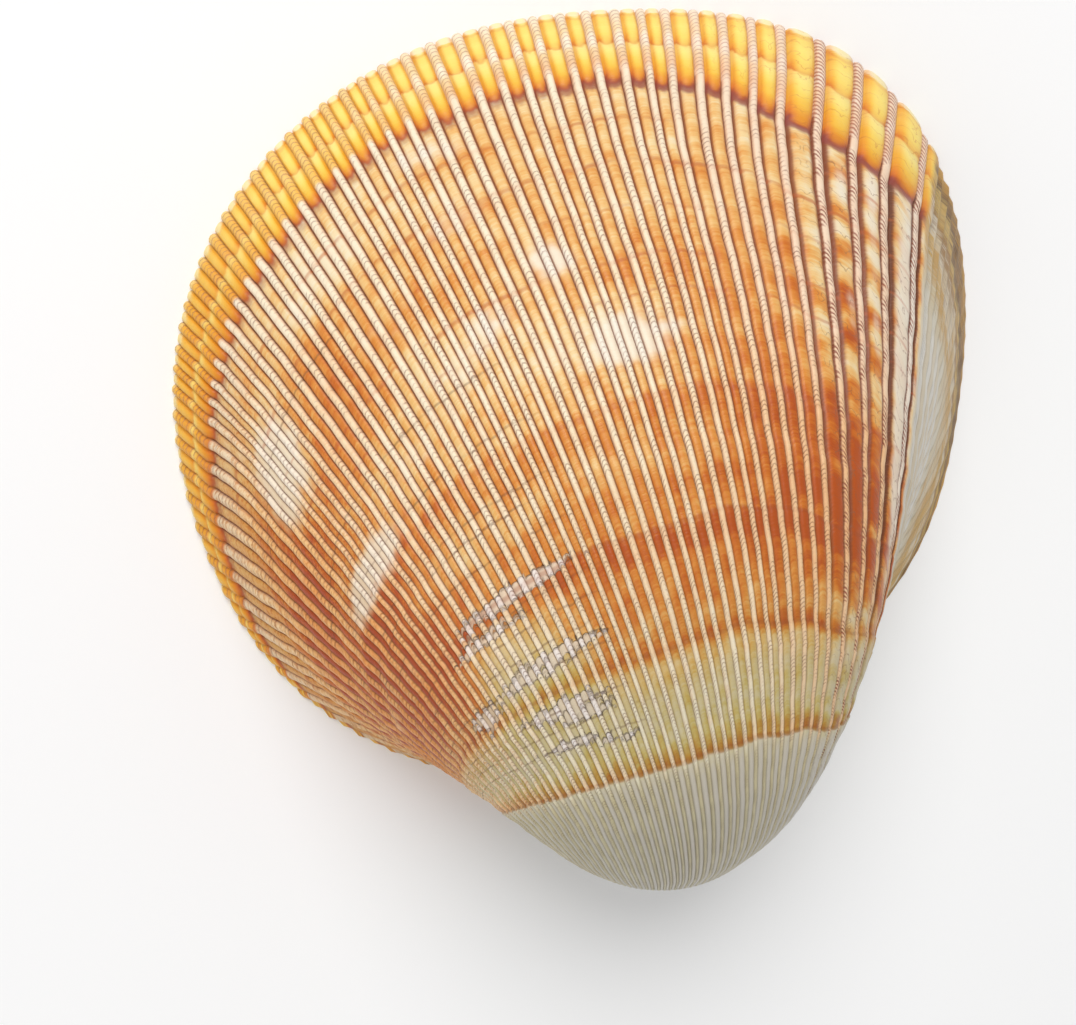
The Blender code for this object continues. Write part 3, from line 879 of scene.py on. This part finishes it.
# Yellow tint on the long side: partly stain, partly painted shade.
long_side_stain_and_shade = times(rise(direction, 106.0, 130.0), times(painted_shade_share, 0.95))
long_side_stain_and_shade = times(long_side_stain_and_shade, times(rise(grown_to, 0.50, 0.60), rise(grown_to, 0.97, 0.92)))
skin_colour = cover(long_side_stain_and_shade, skin_colour, LONG_SIDE_STAIN_AND_SHADE, "MULTIPLY")

# Inside, the wall is smooth and white like porcelain, and cream beside the margin.
PORCELAIN = (246, 240, 230)
INNER_CREAM = (244, 214, 158)

inner_colour = cover(rise(run_mm, 14.0, 3.0), PORCELAIN, INNER_CREAM)
skin_colour = cover(rise(inside, 0.02, 0.25), skin_colour, inner_colour)
threads.new(skin_colour, glaze.inputs["Base Color"])

# Low relief in millimetres that is finer than the mesh.
low_relief = times(bar_depth, -0.10)
low_relief = plus(low_relief, times(striae, 0.10))
low_relief = plus(low_relief, times(fleck, 0.03))
low_relief = plus(low_relief, times(worn_off, -0.12))
low_relief = plus(low_relief, times(crack, -0.20))
low_relief = times(low_relief, minus(1.0, inside))
dents = shelf.new("ShaderNodeBump")
feed(dents.inputs["Strength"], 1.0)
feed(dents.inputs["Distance"], M_FOR_MM)
threads.new(low_relief, dents.inputs["Height"])
threads.new(dents.outputs["Normal"], glaze.inputs["Normal"])
ROUGHNESS = 0.40
gloss = plus(ROUGHNESS, times(fleck, 0.25))
threads.new(plus(gloss, times(worn_off, 0.25)), glaze.inputs["Roughness"])
shell_mesh.materials.append(shell_finish)

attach(valve, "root")
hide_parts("valve")

# The table: a plain pale board with a dull finish, larger than the picture shows.
# The valve lies on it by its rim, and nothing else holds it.
TABLE_HALF_M = 3.0
TABLE_WHITE = (0.96, 0.96, 0.96, 1.0)
TABLE_ROUGHNESS = 0.9

table_mesh = bpy.data.meshes.new("table")
square = [(-1, -1), (1, -1), (1, 1), (-1, 1)]
corners = [(x * TABLE_HALF_M, y * TABLE_HALF_M, 0.0) for x, y in square]
table_mesh.from_pydata(corners, [], [(0, 1, 2, 3)])
table = bpy.data.objects.new("table", table_mesh)
bpy.context.scene.collection.objects.link(table)
table_finish = bpy.data.materials.new("table_white")
table_finish.use_nodes = True
table_paint = table_finish.node_tree.nodes["Principled BSDF"]
table_paint.inputs["Base Color"].default_value = TABLE_WHITE
table_paint.inputs["Roughness"].default_value = TABLE_ROUGHNESS
table_mesh.materials.append(table_finish)

# The light: one wide soft lamp above the free margin, a weaker one opposite, and a white room.
# The camera looks down on the dome from in front of the free margin.
LAMPS_POINT_AT = Vector((0.0, 0.0, 0.02))
ROOM_STRENGTH = 0.45


def soft_lamp(name, place, width, watts):
    lamp = bpy.data.lights.new(name, "AREA")
    lamp.shape = "DISK"
    lamp.size = width
    lamp.energy = watts
    lamp_object = bpy.data.objects.new(name, lamp)
    bpy.context.scene.collection.objects.link(lamp_object)
    lamp_object.location = place
    aim = LAMPS_POINT_AT - Vector(place)
    lamp_object.rotation_euler = aim.to_track_quat("-Z", "Y").to_euler()


soft_lamp("lamp_over_margin", place=(-0.05, -0.85, 0.95), width=0.9, watts=10.5)
soft_lamp("lamp_opposite", place=(0.7, 0.5, 0.9), width=1.2, watts=3.2)
room = bpy.data.worlds.new("white_room")
room.use_nodes = True
walls = room.node_tree.nodes["Background"]
walls.inputs["Color"].default_value = (1.0, 1.0, 1.0, 1.0)
walls.inputs["Strength"].default_value = ROOM_STRENGTH
bpy.context.scene.world = room
bpy.context.scene.view_settings.view_transform = "Standard"

# Where the camera stands, in metres, how it is turned, and its lens.
CAMERA_AT = (0.09462, -0.14086, 0.44857)
LOOKS_ALONG = Vector((-0.17174, 0.31069, -0.93487)).normalized()
PICTURE_UP = Vector((-0.31307, -0.91699, -0.24723))
LENS_MM = 107.0
SENSOR_MM = 36.0
NEAREST_M = 0.01

lens = bpy.data.cameras.new("camera")
lens.lens = LENS_MM
lens.sensor_width = SENSOR_MM
lens.clip_start = NEAREST_M
camera = bpy.data.objects.new("camera", lens)
bpy.context.scene.collection.objects.link(camera)
right_side = LOOKS_ALONG.cross(PICTURE_UP).normalized()
upright = right_side.cross(LOOKS_ALONG)
turned_to = Matrix((right_side, upright, -LOOKS_ALONG)).transposed().to_4x4()
camera.matrix_world = Matrix.Translation(CAMERA_AT) @ turned_to
bpy.context.scene.camera = camera
